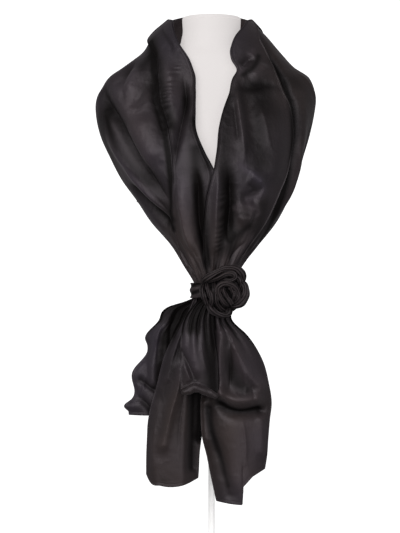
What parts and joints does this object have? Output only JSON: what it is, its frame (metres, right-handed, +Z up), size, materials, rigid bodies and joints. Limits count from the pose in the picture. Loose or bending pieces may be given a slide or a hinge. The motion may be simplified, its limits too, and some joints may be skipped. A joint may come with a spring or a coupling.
{
  "type": "evening stole on a dress form",
  "caption": "Black silk satin stole with a turned collar, its fronts drawn together under a silk rosette with hanging ends, worn by a limbless bust form on a pole and disc base.",
  "frame": {"origin": "middle of the base's flat underside, on the floor", "axes": "+Z up along the pole to the neck; the fronts and the rosette face -Y; the wearer's left is +X"},
  "size_m": [0.4093, 0.2907, 1.0126],
  "materials": {
    "silk": "satin",
    "form_shell": "smooth off-white",
    "form_stand": "off-white satin paint"
  },
  "bodies": {
    "root": {"collar_back": "silk", "collar_left": "silk", "collar_right": "silk", "rosette_backing": "silk", "rosette_bud": "silk", "rosette_coil": "silk", "rosette_inner_fold": "silk", "rosette_lobe": "silk", "rosette_low_fold": "silk", "rosette_strap": "silk", "rosette_top_fold": "silk", "rosette_wrap": "silk", "stole_back": "silk", "stole_front_left": "silk", "stole_front_right": "silk", "tail_back_left": "silk", "tail_centre": "silk", "tail_left": "silk", "tail_right": "silk", "tail_roll": "silk", "form_bust": "form_shell", "form_cap": "form_shell", "form_base": "form_stand", "form_pole": "form_stand"}
  },
  "joints": []
}
